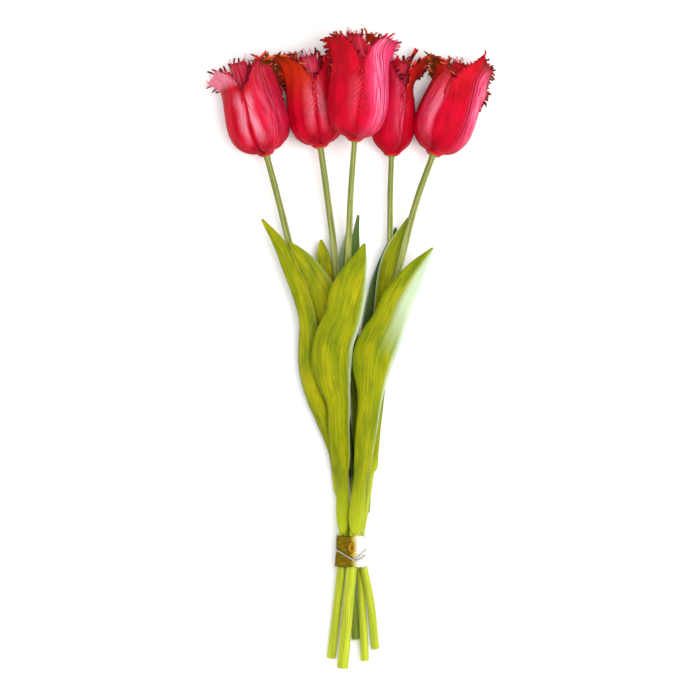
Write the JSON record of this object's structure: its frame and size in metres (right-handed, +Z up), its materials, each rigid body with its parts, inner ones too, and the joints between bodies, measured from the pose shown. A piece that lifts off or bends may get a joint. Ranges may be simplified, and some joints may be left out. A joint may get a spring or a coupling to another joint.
{
  "type": "tied bunch of fringed tulips",
  "caption": "Cut fringed tulips with their leaves, tied with raffia and twisted wire, lying on their side as a bunch.",
  "frame": {"origin": "middle of the bunch's bounding box, on the surface that it lies on", "axes": "+Y along the bunch from the cut ends to the flowers, +Z up from the surface, +X to the right as seen from above"},
  "size_m": [0.2187, 0.4825, 0.0949],
  "materials": {
    "petal": "satin crimson petals with pink sheen and orange-red fringe",
    "pistil": "pale green, matte",
    "stamen": "dark powdery anthers",
    "stem": "smooth pale olive green, brighter at the cut end",
    "leaf": "waxy yellow-green with lengthwise veins",
    "raffia": "dry olive-brown fibre",
    "wire": "thin bright wire"
  },
  "bodies": {
    "root": {"stem_1": "stem", "stem_2": "stem", "stem_3": "stem", "stem_4": "stem", "stem_5": "stem", "flower_1_petal_outer_1": "petal", "flower_1_petal_outer_2": "petal", "flower_1_petal_outer_3": "petal", "flower_1_petal_inner_1": "petal", "flower_1_petal_inner_2": "petal", "flower_1_petal_inner_3": "petal", "flower_1_pistil": "pistil", "flower_1_stamens": "stamen", "flower_2_petal_outer_1": "petal", "flower_2_petal_outer_2": "petal", "flower_2_petal_outer_3": "petal", "flower_2_petal_inner_1": "petal", "flower_2_petal_inner_2": "petal", "flower_2_petal_inner_3": "petal", "flower_2_pistil": "pistil", "flower_2_stamens": "stamen", "flower_3_petal_outer_1": "petal", "flower_3_petal_outer_2": "petal", "flower_3_petal_outer_3": "petal", "flower_3_petal_inner_1": "petal", "flower_3_petal_inner_2": "petal", "flower_3_petal_inner_3": "petal", "flower_3_pistil": "pistil", "flower_3_stamens": "stamen", "flower_4_petal_outer_1": "petal", "flower_4_petal_outer_2": "petal", "flower_4_petal_outer_3": "petal", "flower_4_petal_inner_1": "petal", "flower_4_petal_inner_2": "petal", "flower_4_petal_inner_3": "petal", "flower_4_pistil": "pistil", "flower_4_stamens": "stamen", "flower_5_petal_outer_1": "petal", "flower_5_petal_outer_2": "petal", "flower_5_petal_outer_3": "petal", "flower_5_petal_inner_1": "petal", "flower_5_petal_inner_2": "petal", "flower_5_petal_inner_3": "petal", "flower_5_pistil": "pistil", "flower_5_stamens": "stamen", "leaf_1_lower": "leaf", "leaf_1_upper": "leaf", "leaf_2_left": "leaf", "leaf_2_right": "leaf", "leaf_3_front": "leaf", "leaf_3_back": "leaf", "leaf_4_front": "leaf", "leaf_4_back": "leaf", "leaf_5_front": "leaf", "tie_band": "raffia", "tie_wire": "wire", "tie_knot": "raffia"}
  },
  "joints": []
}
